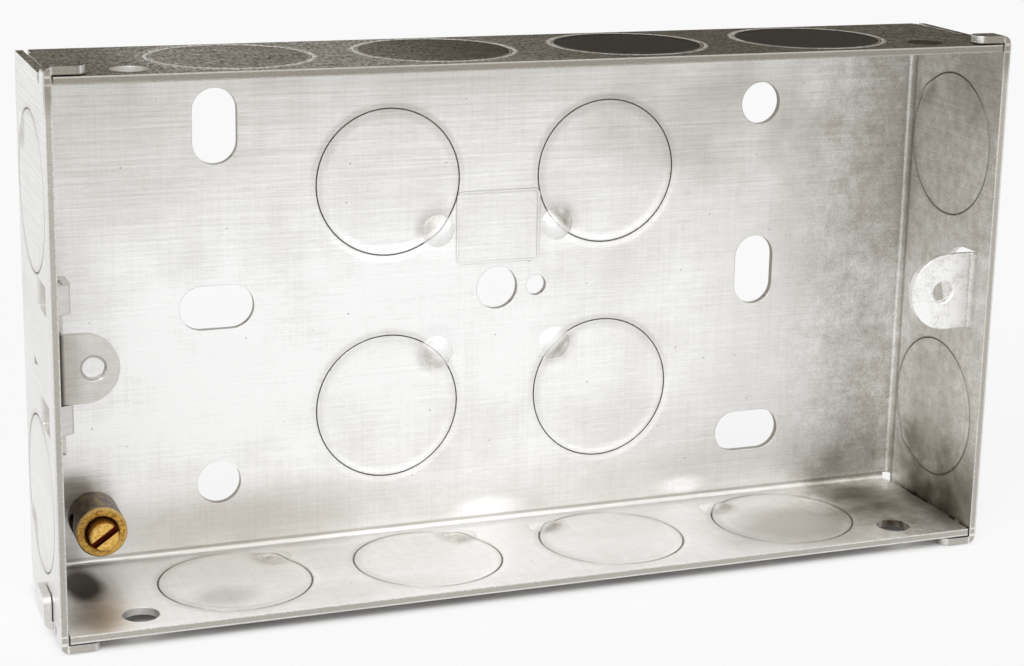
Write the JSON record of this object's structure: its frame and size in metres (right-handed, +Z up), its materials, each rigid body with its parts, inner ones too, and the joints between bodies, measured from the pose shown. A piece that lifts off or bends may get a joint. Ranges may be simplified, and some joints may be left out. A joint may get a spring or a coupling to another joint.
{
  "type": "flush back box",
  "caption": "Folded steel flush back box with knockouts, fixing slots, a fixed and an adjustable faceplate lug and a brass earth terminal.",
  "frame": {"origin": "centre of the hole in the middle of the back plate, on its rear face", "axes": "+X along the long side, to the right as seen from the open side; +Y out of the rear face, into the wall; +Z up. The box opens towards -Y"},
  "size_m": [0.1342, 0.025, 0.0742],
  "materials": {
    "zinc_steel": "satin",
    "lug_steel": "satin",
    "brass": "dull",
    "screw_brass": "satin"
  },
  "bodies": {
    "box": {"box_shell": "zinc_steel", "earth_terminal_post": "brass"},
    "lug": {"adjustable_lug": "lug_steel"},
    "screw": {"earth_terminal_screw": "screw_brass"}
  },
  "joints": [
    {"name": "lug_slide", "type": "slide", "parent": "box", "child": "lug", "axis": [0, 0, 1], "range_m": [0, 0.0026]},
    {"name": "screw_travel", "type": "slide", "parent": "box", "child": "screw", "axis": [0, 1, 0], "range_m": [-0.001, 0.002]}
  ]
}
